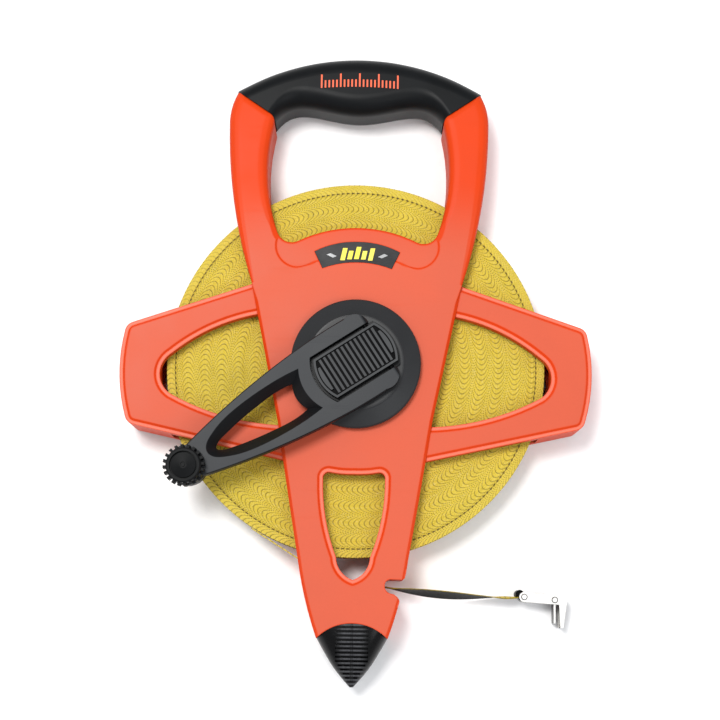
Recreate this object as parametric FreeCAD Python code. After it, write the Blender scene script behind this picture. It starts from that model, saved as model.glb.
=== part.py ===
import FreeCAD, Part
import math
import os

# Surveyor tape reel: an open two-half frame with a carrying handle and a ground spike, a crank-driven spool
# of flat measuring tape, and a folding end hook. Millimetres. The reel lies on its back: +Z is the spool
# axis, +Y points to the handle, and z = 0 is the plane of the back face.

V = FreeCAD.Vector
os.makedirs("parts", exist_ok=True)

# levels along the spool axis
BACK = 0.0
FRONT = 37.0
MID = (BACK + FRONT) / 2
ARM_STEP = 2.0
SKIN = 2.8
WALL = 2.6

# ledge along the arms' edge and round each window, and the slope from it up to the face
LEDGE = 2.1
SLOPE = 1.2
DROP = 1.0

# tape and pack
TAPE_W = 13.0
TAPE_T = 0.5
PACK_R = 112.0
CORE_R = 30.0
PACK_LOW = MID - TAPE_W / 2
PACK_HIGH = MID + TAPE_W / 2
PACK_SPACE_R = 115.5
PACK_SPACE_HALF = 9.0

# hub
SPINDLE_R = 9.0
BUSH_R = 13.0
FIT = 0.05
DISC_R = 38.0
PLATEAU_R = 28.0
DISC_LOW = FRONT + 0.6
DISC_RIM = 42.5
PLATEAU = 47.0

# crank
CRANK_ANGLE = 213.0
CRANK_REACH = 115.0
CRANK_TOP = 53.0
CRANK_LOW = 45.0
FORK_LOW = PLATEAU + 0.3
HINGE_BACK = 15.5
HINGE_Z = (CRANK_TOP + FORK_LOW) / 2
HINGE_PIN_R = 1.5
BLOCK_R = 25.6
BLOCK_HALF = 15.0
PAD_R = 24.3
PAD_HALF = 13.0
BLOCK_STEP = 48.8
BLOCK_TOP = 51.9

# knob
KNOB_R = 10.0
KNOB_TEETH = 20
KNOB_LOW = CRANK_TOP + 0.4
KNOB_TOP = 62.2
KNOB_PIN_R = 3.0

# tape exit on the right side of the leg and the guide roller above it
EXIT = (18.6, -128.6)
EXIT_SLOPE = math.radians(-8.0)
LEAD_SLOPE = math.radians(-32.0)
ROLLER_R = 3.4
ROLLER_PIN_R = 1.5

# end fitting
HOOK_T = 1.0
HOOK_LOW = 0.2
HOOK_HIGH = 13.8
HOOK_MID = (HOOK_LOW + HOOK_HIGH) / 2
HOOK_PIN_A = (100.8, -132.9)
HOOK_PIN_B = (118.7, -134.4)
HOOK_PIN_R = 1.2

# case screws: handle legs, arm ends, foot of the leg
SCREW_AT = [(65.8, 128.0), (-65.8, 128.0), (127.0, 11.0), (-127.0, 11.0),
            (127.0, -24.0), (-127.0, -24.0), (12.5, -141.0), (-12.5, -141.0)]
SCREW_R = 1.5
HEAD_R = 3.0
BOSS_R = 4.6


def p(point, z=0.0):
    return V(point[0], point[1], z)


def edges_of(steps):
    """Edges from a start point and steps: (x, y) draws a line, (mx, my, x, y) an arc through m."""
    here = steps[0]
    out = []
    for step in steps[1:]:
        end = step[-2:]
        if len(step) == 2:
            out.append(Part.makeLine(p(here), p(end)))
        else:
            out.append(Part.Arc(p(here), p(step[:2]), p(end)).toShape())
        here = end
    return out


def face_of(steps):
    return Part.Face(Part.Wire(edges_of(steps)))


def symmetric_face(steps, crown=None):
    """A face whose right half runs along the steps; it starts on the Y axis or at an arc over the crown point."""
    right = edges_of(steps)
    left = [e.mirror(V(0, 0, 0), V(1, 0, 0)) for e in right]
    if crown:
        x, y = steps[0]
        left.append(Part.Arc(p((-x, y)), p(crown), p((x, y))).toShape())
    return Part.Face(Part.Wire(Part.__sortEdges__(right + left)))


def prism(face, low, high):
    shape = face.extrude(V(0, 0, high - low))
    shape.translate(V(0, 0, low))
    return shape


def grown(face, by):
    return Part.Face(face.OuterWire.makeOffset2D(by))


def tube(r, low, high, at=(0.0, 0.0)):
    return Part.makeCylinder(r, high - low, p(at, low))


def box(x0, x1, y0, y1, z0, z1):
    return Part.makeBox(x1 - x0, y1 - y0, z1 - z0, V(x0, y0, z0))


def whole(shape):
    """The largest solid of a shape, cleaned of needless seams."""
    best = max(shape.Solids, key=lambda s: s.Volume)
    return best.removeSplitter()


def save(name, shape):
    shape.exportStep("parts/%s.step" % name)
    b = shape.BoundBox
    print("%-16s solids %2d valid %s volume %10.1f  x %.1f..%.1f y %.1f..%.1f z %.1f..%.1f" % (
        name, len(shape.Solids), shape.isValid(), shape.Volume,
        b.XMin, b.XMax, b.YMin, b.YMax, b.ZMin, b.ZMax))


def flipped(shape):
    """The same shape seen from the back half: mirrored in the plane where the two halves meet."""
    return shape.mirror(V(0, 0, MID), V(0, 0, 1))


# ---------------------------------------------------------------- frame outlines

def trunk_face():
    return symmetric_face([
        (35.222, 74.404),
        (42.662, 74.134, 47.76, 79.561),
        (54.109, 112.642, 51.2, 146.2),
        (51.7, 150.6, 54.3, 153.5),
        (73.6, 166.6),
        (77.03, 157.58, 78.2, 148.0),
        (74.25, 98.0, 62.2, 48.3),
        (45.0, -34.0),
        (38.2, -76.0, 32.0, -112.0),
        (27.0, -137.0, 20.4, -158.2),
        (10.6, -151.6, 0.0, -149.6)], (0.0, 82.7))


def arm_face():
    return face_of([
        (30.0, 59.0),
        (132.035, 24.218),
        (134.779, 22.403, 136.283, 19.477),
        (138.673, -6.0, 134.393, -32.198),
        (132.593, -35.088, 129.578, -36.672),
        (30.0, -58.8),
        (30.0, 59.0)])


def arm_window():
    return face_of([
        (36.0, 33.0),
        (50.0, 31.2),
        (82.0, 22.4, 108.5, 5.8),
        (115.0, -6.0, 108.5, -18.2),
        (78.0, -30.6, 44.0, -36.0),
        (36.0, -36.6),
        (36.0, 33.0)])


def leg_window():
    return symmetric_face([
        (0.0, -64.2),
        (7.0, -64.1, 14.0, -63.2),
        (17.0, -64.0, 18.0, -67.0),
        (16.0, -90.5, 9.8, -112.0),
        (5.6, -121.6, 0.0, -125.0)])


def notch_face():
    return face_of([
        (40.0, -121.0),
        (30.6, -121.0),
        (29.8, -123.8, 27.0, -124.5),
        (21.6, -124.4),
        (18.9, -126.1, 18.5, -128.6),
        (19.6, -131.2, 22.0, -132.5),
        (25.9, -134.6, 27.3, -138.4),
        (40.0, -139.0),
        (40.0, -121.0)])


def bridge_recess():
    return symmetric_face([
        (0.0, 90.0),
        (48.0, 90.0),
        (47.0, 76.0),
        (43.4, 61.6, 36.5, 58.6),
        (30.6, 59.5, 25.0, 62.4),
        (0.0, 66.0)])


def label_face(inset=0.0):
    return symmetric_face([
        (0.0, 74.0 - inset),
        (13.0, 72.6 - inset, 25.4 - inset, 67.9 - inset),
        (20.6 - inset, 57.5 + inset),
        (10.5, 60.4 + inset, 0.0, 61.3 + inset)])


def core_bar():
    """The bar inside the grip, one half thick on each side of the middle plane."""
    return symmetric_face([
        (0.0, 164.5),
        (42.0, 164.5),
        (55.5, 150.5),
        (67.0, 160.5),
        (36.0, 176.6, 0.0, 181.0)])


# ---------------------------------------------------------------- frame halves

def rim_edges(shape, z, skip):
    """The outline edges of a plate at height z, without those the test skip() picks."""
    out = []
    for e in shape.Edges:
        b = e.BoundBox
        if b.ZMax - b.ZMin < 0.01 and abs(b.ZMax - z) < 0.01 and not skip(b.Center):
            out.append(e)
    return out


def arc_bevel(arc_points, inward, widths, lead=0.0):
    """Cutter that rounds one curved edge of the front face in three facets.

    The widths run along the edge, inward is 1 if it bulges, and lead carries the start on past the arc.
    """
    circle = Part.Arc(*[p(q) for q in arc_points]).toShape().Curve
    centre = circle.Center
    radius = circle.Radius
    spans = []
    for end in (arc_points[0], arc_points[2]):
        spans.append(math.atan2(end[1] - centre.y, end[0] - centre.x))
    spans[0] -= math.copysign(lead / radius, spans[1] - spans[0])
    wires = []
    for i, w in enumerate(widths):
        a = spans[0] + (spans[1] - spans[0]) * i / (len(widths) - 1)
        d = 0.75 * w
        profile = [(1.5 * w, 0.134 * d), (0.5 * w, -0.134 * d), (0.134 * w, -0.5 * d), (-0.134 * w, -1.5 * d),
                   (-0.6 * w, -1.5 * d), (-0.6 * w, 1.5), (1.5 * w, 1.5)]
        corners = []
        for into, up in profile:
            r = radius - inward * into
            corners.append(V(centre.x + r * math.cos(a), centre.y + r * math.sin(a), FRONT + up))
        corners.append(corners[0])
        wires.append(Part.makePolygon(corners))
    return Part.makeLoft(wires, True, False)


def handle_bevels():
    """Wide rounding of both handle legs and the narrow one along the lower edge of the handle opening."""
    outer_top = [(78.2, 148.0), (74.25, 98.0), (62.2, 48.3)]
    outer_corner = [(73.6, 166.6), (77.03, 157.58), (78.2, 148.0)]
    inner = [(51.2, 146.2), (54.109, 112.642), (47.76, 79.561)]
    opening_corner = [(35.222, 74.404), (42.662, 74.134), (47.76, 79.561)]
    cutters = [
        arc_bevel(outer_corner, 1, [6.4, 6.2, 6.0], 4.0),
        arc_bevel(outer_top, 1, [6.0, 6.0, 5.4, 4.2, 1.6]),
        arc_bevel(inner, -1, [6.2, 6.2, 6.0, 5.2, 2.6], 9.0),
        arc_bevel(opening_corner, -1, [2.2, 2.3, 2.6])]
    crown = arc_bevel([(35.222, 74.404), (0.0, 82.7), (-35.222, 74.404)], 1, [2.2, 2.2, 2.2, 2.2, 2.2])
    return cutters + [c.mirror(V(0, 0, 0), V(1, 0, 0)) for c in cutters] + [crown]


def sloped(face, low_by, high_by, low, high):
    """Solid between two outlines round a face, one at each level."""
    wires = []
    for by, z in ((low_by, low), (high_by, high)):
        wire = grown(face, by).OuterWire
        wire.translate(V(0, 0, z))
        wires.append(wire)
    return Part.makeLoft(wires, True, True)


def window_shoulder(window, top):
    """Cutter for the ledge round a window and the slope up from it to the face."""
    return sloped(window, LEDGE, LEDGE + 1.1 * SLOPE, top - DROP, top + 0.1 * DROP)


def half_body():
    """The front half without its fittings: plate, arms and walls over a hollow underside."""
    trunk = prism(trunk_face(), MID, FRONT)
    for side in (-1, 1):
        trunk = trunk.makeChamfer(1.6, rim_edges(trunk, FRONT, lambda c: c.y > 90 or c.y < -149 or side * c.x < 25))
    for cutter in handle_bevels():
        trunk = trunk.cut(cutter)
    top = FRONT - ARM_STEP
    arm = prism(arm_face(), MID, top - DROP)
    arm = arm.fuse(sloped(arm_face(), -LEDGE, -LEDGE - SLOPE, top - DROP, top))
    arm = arm.cut(window_shoulder(arm_window(), top))
    arm = arm.cut(prism(arm_window(), 0, FRONT))
    hollow_arm = prism(grown(arm_face(), -WALL), 0, top - SKIN)
    hollow_arm = hollow_arm.cut(prism(grown(arm_window(), WALL - 0.4), 0, FRONT))
    left = arm.mirror(V(0, 0, 0), V(1, 0, 0))
    body = trunk.fuse([arm, left])
    hollow_trunk = prism(grown(trunk_face(), -WALL), 0, FRONT - SKIN)
    hollow_trunk = hollow_trunk.cut(prism(grown(leg_window(), WALL - 0.4), MID + PACK_SPACE_HALF, FRONT))
    body = body.cut(hollow_trunk)
    body = body.cut(hollow_arm.cut(prism(trunk_face(), 0, FRONT)))
    body = body.cut(hollow_arm.mirror(V(0, 0, 0), V(1, 0, 0)).cut(prism(trunk_face(), 0, FRONT)))
    body = body.cut(tube(PACK_SPACE_R, 0, MID + PACK_SPACE_HALF))
    body = body.cut(prism(leg_window(), 0, FRONT + 1))
    return body


def tape_channel():
    """Room for the tape on its way from the pack, round the guide roller and out of the notch."""
    half = TAPE_W / 2 + 1.0
    lead = box(-70, 4, -2.2, 2.2, MID - half, MID + half)
    lead.rotate(V(0, 0, 0), V(0, 0, 1), math.degrees(LEAD_SLOPE))
    lead.translate(p(ROLLER_BEND))
    out = box(-6, 60, -2.2, 2.2, MID - half, MID + half)
    out.rotate(V(0, 0, 0), V(0, 0, 1), math.degrees(EXIT_SLOPE))
    out.translate(p(ROLLER_BEND))
    return lead.fuse(out)


def frame_half():
    body = half_body()
    body = body.cut(window_shoulder(leg_window(), FRONT))
    body = body.cut(prism(notch_face(), 0, FRONT + 1))
    notch_wall = prism(grown(notch_face(), WALL), MID, FRONT - 1).common(prism(trunk_face(), MID, FRONT))
    body = body.fuse(notch_wall.cut(prism(notch_face(), 0, FRONT + 1)))
    body = body.fuse(prism(core_bar(), MID, MID + 9.0))
    body = body.fuse(tube(17.0, MID + PACK_SPACE_HALF, FRONT - 1))
    for at in SCREW_AT:
        top = FRONT - 2.4 if abs(at[0]) < 100 else FRONT - ARM_STEP - 2.4
        body = body.fuse(tube(BOSS_R, MID, top, at))
    body = body.fuse(tube(ROLLER_PIN_R + 2.0, MID + TAPE_W / 2 + 1.0, FRONT - 2, ROLLER_AT))
    body = body.cut(tube(ROLLER_PIN_R, 0, MID + TAPE_W / 2 + 5.0, ROLLER_AT))
    tang = box(-6.0, 6.0, -160, -138.0, MID - 3.0, MID + 3.0)
    body = body.cut(tang)
    return body.cut(tape_channel())


def front_frame():
    body = frame_half()
    body = body.cut(sloped(bridge_recess(), 0.0, 1.2, FRONT - 0.8, FRONT + 0.1))
    body = body.cut(prism(label_face(), FRONT - 1.6, FRONT + 1))
    body = body.cut(tube(BUSH_R, 0, FRONT + 1))
    for at in SCREW_AT:
        body = body.cut(tube(SCREW_R, 0, MID + 11.0, at))
    for c in (-1, 1):
        body = body.cut(tube(1.5, 0, MID + 8, (0.0, TANG_PINS[c])))
    return whole(body)


def back_frame():
    body = flipped(frame_half())
    body = body.cut(tube(BUSH_R, -1, FRONT))
    body = body.fuse(tube(17.0, BACK, BACK + 1.6).cut(tube(BUSH_R, -1, FRONT)))
    body = body.cut(tube(15.6, -1, BACK + 1.3))
    for at in SCREW_AT:
        deep = 5.0 if abs(at[0]) < 100 else 7.0
        body = body.cut(tube(SCREW_R + 0.2, -1, FRONT, at))
        body = body.cut(tube(HEAD_R + 0.4, -1, BACK + deep, at))
    for c in (-1, 1):
        body = body.cut(tube(1.5, MID - 8, FRONT, (0.0, TANG_PINS[c])))
    return whole(body)


def frame_screws():
    out = []
    for at in SCREW_AT:
        deep = 5.0 if abs(at[0]) < 100 else 7.0
        head = tube(HEAD_R, BACK + deep - 2.4, BACK + deep, at)
        slot = box(at[0] - 2.0, at[0] + 2.0, at[1] - 0.4, at[1] + 0.4, 0, BACK + deep - 1.4)
        cross = box(at[0] - 0.4, at[0] + 0.4, at[1] - 2.0, at[1] + 2.0, 0, BACK + deep - 1.4)
        shank = tube(SCREW_R, BACK + deep, MID + 10.5, at)
        out.append(whole(head.fuse(shank).cut(slot).cut(cross)))
    return Part.makeCompound(out)


# ---------------------------------------------------------------- grip, label, spike

def section(centre, u, v, half_u, half_v, r):
    """A closed wire: a rounded rectangle about centre in the plane of the unit vectors u and v."""
    def at(a, b):
        return centre + u * a + v * b
    k = r * (1 - math.sqrt(0.5))
    a = half_u
    b = half_v
    edges = [
        Part.makeLine(at(-a + r, -b), at(a - r, -b)),
        Part.Arc(at(a - r, -b), at(a - k, -b + k), at(a, -b + r)).toShape(),
        Part.makeLine(at(a, -b + r), at(a, b - r)),
        Part.Arc(at(a, b - r), at(a - k, b - k), at(a - r, b)).toShape(),
        Part.makeLine(at(a - r, b), at(-a + r, b)),
        Part.Arc(at(-a + r, b), at(-a + k, b - k), at(-a, b - r)).toShape(),
        Part.makeLine(at(-a, b - r), at(-a, -b + r)),
        Part.Arc(at(-a, -b + r), at(-a + k, -b + k), at(-a + r, -b)).toShape()]
    return Part.Wire(edges)


def grip_high(x):
    return 51.1 + math.sqrt(139.2 ** 2 - x ** 2)


def grip_low(x):
    """The finger side: a swell in the middle, a hollow each side of it, then the turn into the legs."""
    x = abs(x)
    if x <= 36:
        return 154.6 + 2.35 * (1 - math.cos(math.pi * x / 36))
    return max(159.3 - 0.04 * (x - 36) ** 2, 134.0)


def grip():
    wires = []
    for i in range(-7, 8):
        x = i * 11.6
        low = grip_low(x)
        high = grip_high(x)
        centre = V(x, (low + high) / 2, MID)
        wires.append(section(centre, V(0, 1, 0), V(0, 0, 1), (high - low) / 2, 18.0, 11.0))
    body = Part.makeLoft(wires, True, False)
    plan = symmetric_face([
        (0.0, 144.7),
        (48.4, 144.7),
        (50.4, 149.6, 54.3, 153.5),
        (73.6, 166.6),
        (73.6, 200.0),
        (0.0, 200.0)])
    body = body.common(prism(plan, BACK, FRONT))
    return whole(body.cut(prism(core_bar(), MID - 9.0, MID + 9.0)))


def grip_marks():
    """A plain row of scale ticks set in the front of the grip; every fifth one is longer."""
    out = []
    for i in range(-10, 11):
        x = i * 2.3
        long = 8.4 if i % 5 == 0 else 4.6
        y = 170.2 + (grip_high(x) - grip_high(0)) * 0.55
        tick = box(x - 0.5, x + 0.5, y, y + long, FRONT - 1.3, FRONT - 0.3)
        out.append(tick)
    return Part.makeCompound(out)


def label_marks():
    """Bold slanted bars in the middle of the label; every other one is taller."""
    out = []
    for i in range(-2, 3):
        x = i * 4.1
        tall = 7.4 if i % 2 == 0 else 5.2
        low = 63.4 - 0.012 * x * x
        lean = tall * 0.22
        bar = Part.makePolygon([V(x - 1.9, low, 0), V(x + 0.8, low, 0), V(x + 0.8 + lean, low + tall, 0),
                                V(x - 1.9 + lean, low + tall, 0), V(x - 1.9, low, 0)])
        out.append(prism(Part.Face(bar), FRONT - 0.5, FRONT - 0.1))
    return Part.makeCompound(out)


def label_studs():
    out = []
    for side in (-1, 1):
        c = (side * 15.2, 65.4)
        corners = [(-3.0, 0.6), (-0.6, 1.5), (3.0, -0.4), (0.8, -1.5), (-3.0, 0.6)]
        out.append(prism(Part.Face(Part.makePolygon([V(c[0] + a, c[1] - side * b * 0.9, 0) for a, b in corners])),
                         FRONT - 0.5, FRONT - 0.1))
    return Part.makeCompound(out)


def boot_loft(shrink):
    wires = []
    for y, wide, thick in ((-146.0, 25.0, 18.4), (-158.2, 20.4, 17.9), (-166.0, 16.0, 15.4),
                           (-175.0, 10.3, 10.7), (-180.5, 5.9, 6.3), (-184.0, 2.8, 3.2), (-186.0, 0.9, 1.1)):
        a = wide - shrink
        b = thick - shrink
        wires.append(section(V(0, y, MID), V(1, 0, 0), V(0, 0, 1), a, b, 0.62 * min(a, b)))
    return Part.makeLoft(wires, True, False)


def spike_boot():
    body = boot_loft(0.0)
    cuts = [box(0.25, 0.65, -183.0, -140.0, -5, FRONT + 5), box(-0.65, -0.25, -183.0, -140.0, -5, FRONT + 5)]
    for i in range(12):
        y = -153.4 - 2.4 * i
        wide = min(9.4, 0.62 * (y + 185.4))
        cuts.append(box(-wide, -1.1, y - 1.2, y, -5, FRONT + 5))
        cuts.append(box(1.1, wide, y - 1.2, y, -5, FRONT + 5))
    body = body.cut(Part.makeCompound(cuts).cut(boot_loft(0.8)))
    body = body.common(tube(28.4, -5, FRONT + 5, (0.0, -178.1)))
    body = body.cut(box(-6.0, 6.0, -172.0, -140.0, MID - 3.0, MID + 3.0))
    return whole(body.cut(tube(1.5, MID - 7, MID + 7, (0.0, TANG_PINS[-1]))))


def spike_tang():
    body = box(-6.0, 6.0, -172.0, -138.0, MID - 3.0, MID + 3.0)
    for c in (-1, 1):
        body = body.cut(tube(1.5, 0, FRONT, (0.0, TANG_PINS[c])))
    return body


def tang_pins():
    return Part.makeCompound([tube(1.5, MID - 7, MID + 7, (0.0, TANG_PINS[c])) for c in (-1, 1)])


# ---------------------------------------------------------------- spool

def spindle():
    body = tube(SPINDLE_R, BACK + 4.1, DISC_LOW)
    body = body.fuse(box(-6, 6, -6, 6, DISC_LOW, 43.0))
    body = body.cut(tube(2.0, BACK + 4.0, BACK + 14.0))
    return whole(body.cut(tube(2.0, 30.0, 44.0)))


def drum():
    """Core with two low flanges; ribs join its rim to the sleeve on the spindle."""
    rim = tube(CORE_R, PACK_LOW - 1.2, PACK_HIGH + 1.2)
    rim = rim.fuse([tube(CORE_R + 4, PACK_LOW - 1.2, PACK_LOW - 0.2),
                    tube(CORE_R + 4, PACK_HIGH + 0.2, PACK_HIGH + 1.2)])
    rim = rim.cut(tube(CORE_R - 3, 0, FRONT))
    sleeve = tube(SPINDLE_R + 3.5, PACK_LOW - 1.2, PACK_HIGH + 1.2)
    web = tube(CORE_R - 2, MID - 1.5, MID + 1.5)
    body = rim.fuse([sleeve, web])
    for i in range(6):
        rib = box(SPINDLE_R + 2, CORE_R - 2, -1.2, 1.2, PACK_LOW, PACK_HIGH)
        rib.rotate(V(0, 0, 0), V(0, 0, 1), 60.0 * i + 30.0)
        body = body.fuse(rib)
    body = body.cut(tube(SPINDLE_R, 0, FRONT))
    slot = box(CORE_R - 4, CORE_R + 0.01, -0.4, 0.4, MID + 1.8, PACK_HIGH)
    return whole(body.cut(slot))


def tape_anchor():
    """Clip inside the drum that holds the inner end of the tape through the slot in the rim."""
    tongue = box(CORE_R - 3.4, CORE_R - 0.2, -0.3, 0.3, MID + 2.0, PACK_HIGH - 0.5)
    plate = box(CORE_R - 4.4, CORE_R - 3.4, -2.4, 2.4, MID + 2.0, PACK_HIGH - 0.5)
    return whole(tongue.fuse(plate))


def tape_pack():
    return tube(PACK_R, PACK_LOW, PACK_HIGH).cut(tube(CORE_R, 0, FRONT))


def hub_disc():
    """Dished disc that carries the crank: flat plateau, cone and a thin upright rim."""
    profile = Part.makePolygon([V(0, 0, DISC_LOW), V(DISC_R - 0.8, 0, DISC_LOW), V(DISC_R, 0, DISC_LOW + 0.8),
                                V(DISC_R, 0, DISC_RIM - 0.8), V(DISC_R - 0.8, 0, DISC_RIM),
                                V(PLATEAU_R + 0.6, 0, PLATEAU - 0.5), V(PLATEAU_R, 0, PLATEAU - 0.08),
                                V(PLATEAU_R - 0.8, 0, PLATEAU), V(0, 0, PLATEAU), V(0, 0, DISC_LOW)])
    body = Part.Face(profile).revolve(V(0, 0, 0), V(0, 0, 1), 360)
    body = body.cut(box(-6, 6, -6, 6, 0, 43.0))
    body = body.cut(tube(2.0, 40, 60))
    return whole(body.cut(tube(5.2, 43.0, 60)))


def drive_screw():
    head = tube(5.0, 43.0, 46.0)
    hexagon = Part.makePolygon([V(2.4 * math.cos(math.radians(60 * i)), 2.4 * math.sin(math.radians(60 * i)), 44.2)
                                for i in range(7)])
    head = head.cut(Part.Face(hexagon).extrude(V(0, 0, 5)))
    return whole(head.fuse(tube(2.0, 30.5, 43.0)))


def end_washer():
    return tube(11.5, BACK + 2.9, BACK + 4.1).cut(tube(2.0, 0, 9))


def end_screw():
    head = tube(4.0, BACK + 1.5, BACK + 2.9)
    head = head.cut(box(-2.6, 2.6, -0.4, 0.4, 0, BACK + 2.1)).cut(box(-0.4, 0.4, -2.6, 2.6, 0, BACK + 2.1))
    return whole(head.fuse(tube(2.0, BACK + 2.9, BACK + 13.0)))


def front_bush():
    return tube(BUSH_R, MID + PACK_SPACE_HALF + 0.1, FRONT - 0.2).cut(tube(SPINDLE_R + FIT, 0, FRONT))


def back_bush():
    return tube(BUSH_R, BACK + 4.3, MID - PACK_SPACE_HALF - 0.1).cut(tube(SPINDLE_R + FIT, 0, FRONT))


def back_cap():
    body = tube(15.5, BACK, BACK + 1.3)
    ring = tube(12.0, -1, BACK + 0.4).cut(tube(11.0, -1, BACK + 1))
    return whole(body.cut(ring))


def friction_washer():
    """Thin felt ring between the back bush and the spool; it drags on the drum so the spool can't run on."""
    return tube(12.4, MID - PACK_SPACE_HALF - 0.1, PACK_LOW - 1.5).cut(tube(SPINDLE_R + 0.4, 0, FRONT))


# ---------------------------------------------------------------- crank, drawn along +X then turned

def placed(shape):
    shape.rotate(V(0, 0, 0), V(0, 0, 1), CRANK_ANGLE)
    return shape


def pill(r, half, low, high):
    """A round plate with two flat sides."""
    return tube(r, low, high).common(box(-40, 40, -half, half, 0, 60))


def pivot_block():
    body = pill(BLOCK_R, BLOCK_HALF, PLATEAU, BLOCK_STEP)
    body = body.fuse(pill(PAD_R, PAD_HALF, PLATEAU, BLOCK_TOP))
    body = body.cut(pill(PAD_R - 1.2, PAD_HALF - 1.2, BLOCK_TOP - 0.8, 60))
    body = body.cut(tube(5.2, 0, PLATEAU + 0.6))
    pin = Part.makeCylinder(HINGE_PIN_R, 60, V(-HINGE_BACK, -30, HINGE_Z), V(0, 1, 0))
    return whole(placed(body.cut(pin)))


def ribbed_pad():
    """Cover of the pivot block: a raised rim round cross ribs, with a D-shaped rib at each round end."""
    low = BLOCK_TOP + 0.4
    high = BLOCK_TOP + 1.7
    body = pill(PAD_R - 1.2, PAD_HALF - 1.2, BLOCK_TOP - 0.8, BLOCK_TOP).fuse(pill(PAD_R, PAD_HALF, BLOCK_TOP, low))
    body = body.fuse(pill(PAD_R, PAD_HALF, low, high).cut(pill(PAD_R - 1.3, PAD_HALF - 1.3, low, 60)))
    for i in range(-6, 7):
        x = 2.95 * i
        rib = box(x - 0.75, x + 0.75, -40, 40, low - 0.1, high)
        body = body.fuse(rib.common(pill(PAD_R - 2.0, PAD_HALF - 2.0, 0, 60)))
    for side in (-1, 1):
        limit = box(19.7, 40, -7.4, 7.4, 0, 60) if side > 0 else box(-40, -19.7, -7.4, 7.4, 0, 60)
        body = body.fuse(tube(PAD_R - 2.0, low - 0.1, high).common(limit))
    pin = Part.makeCylinder(HINGE_PIN_R + 0.2, 60, V(-HINGE_BACK, -30, HINGE_Z), V(0, 1, 0))
    return whole(placed(body.cut(pin)))


def hinge_pin():
    pin = Part.makeCylinder(HINGE_PIN_R, 38.0, V(-HINGE_BACK, -19.0, HINGE_Z), V(0, 1, 0))
    return placed(pin)


def crank_outline():
    return face_of([
        (-18.4, 15.3),
        (-16.6, 20.8, -8.0, 24.2),
        (10.0, 24.3, 28.0, 23.3),
        (66.0, 18.9, 108.0, 10.3),
        (125.0, 0.0, 108.0, -10.3),
        (66.0, -18.9, 28.0, -23.3),
        (10.0, -24.3, -8.0, -24.2),
        (-16.6, -20.8, -18.4, -15.3),
        (-18.4, 15.3)])


def crank_window(side, bow):
    """Outline of the arm's window: one smooth line from corner to corner round the tip, and a bowed end."""
    both = side + [(x, -y) for x, y in reversed(side[:-1])]
    curve = Part.BSplineCurve()
    curve.interpolate([p(q) for q in both])
    end = Part.Arc(p(both[-1]), p((bow, 0.0)), p(both[0])).toShape()
    return Part.Wire([curve.toShape(), end])


def crank_arm():
    plan = crank_outline()
    body = prism(plan, CRANK_LOW, CRANK_TOP)
    body = body.cut(box(-40, 31.5, -40, 40, 0, FORK_LOW))
    body = body.cut(prism(Part.Face(Part.Wire(Part.makeCircle(DISC_R + 0.6))), 0, 45.6))
    rim = rim_edges(body, CRANK_TOP, lambda c: c.x < -12 or c.x > 100)
    body = body.makeChamfer(0.6, rim)
    slot = tube(26.5, 0, 60).common(box(-40, 40, -15.3, 15.3, 0, 60))
    slot = slot.fuse(box(-40, -10, -15.3, 15.3, 0, 60))
    body = body.cut(slot)
    top = crank_window([(30.6, 13.4), (45.0, 14.5), (58.0, 14.3), (73.0, 13.0), (84.5, 10.7), (93.5, 7.2),
                        (98.6, 3.6), (100.0, 0.0)], 34.2)
    low = crank_window([(38.0, 8.6), (48.0, 9.6), (61.0, 8.6), (79.0, 5.9), (88.0, 3.9), (93.0, 1.9),
                        (94.5, 0.0)], 40.4)
    top.translate(V(0, 0, CRANK_TOP + 0.01))
    well = prism(Part.Face(low), 0, CRANK_LOW + 1.6)
    low.translate(V(0, 0, CRANK_LOW + 1.5))
    body = body.cut(Part.makeLoft([top, low], True, True))
    body = body.cut(well)
    # the tail of each fork lug is round about the hinge pin
    square = box(-HINGE_BACK - 6, -HINGE_BACK, -40, 40, 0, 60)
    roundel = Part.makeCylinder(HINGE_Z - FORK_LOW, 80, V(-HINGE_BACK, -40, HINGE_Z), V(0, 1, 0))
    body = body.cut(square.cut(roundel))
    pin = Part.makeCylinder(HINGE_PIN_R + FIT, 60, V(-HINGE_BACK, -30, HINGE_Z), V(0, 1, 0))
    body = body.cut(pin)
    body = body.cut(tube(KNOB_PIN_R, 0, 60, (CRANK_REACH, 0.0)))
    body = body.cut(tube(4.6, 0, CRANK_LOW + 1.0, (CRANK_REACH, 0.0)))
    return whole(placed(body))


def knob_pin():
    at = (CRANK_REACH, 0.0)
    body = tube(KNOB_PIN_R, CRANK_LOW + 1.0, KNOB_TOP - 3.0, at)
    body = body.fuse(tube(4.4, CRANK_LOW + 0.1, CRANK_LOW + 1.0, at))
    body = body.fuse(tube(4.2, KNOB_TOP - 3.0, KNOB_TOP - 2.2, at))
    return whole(placed(body))


def knob():
    at = (CRANK_REACH, 0.0)
    body = tube(KNOB_R, KNOB_LOW, KNOB_TOP - 0.8, at)
    dome = Part.makeCone(KNOB_R, KNOB_R - 0.8, 0.8, p(at, KNOB_TOP - 0.8))
    body = body.fuse(dome)
    for i in range(KNOB_TEETH):
        tooth = box(CRANK_REACH + KNOB_R - 0.6, CRANK_REACH + KNOB_R + 1.8, -0.85, 0.85, KNOB_LOW, KNOB_TOP - 1.8)
        tooth.rotate(p(at), V(0, 0, 1), 360.0 / KNOB_TEETH * (i + 0.5))
        body = body.fuse(tooth)
    body = body.cut(tube(KNOB_PIN_R + FIT, 0, 70, at))
    return whole(placed(body.cut(tube(7.9, KNOB_TOP - 3.3, 70, at))))


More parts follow.
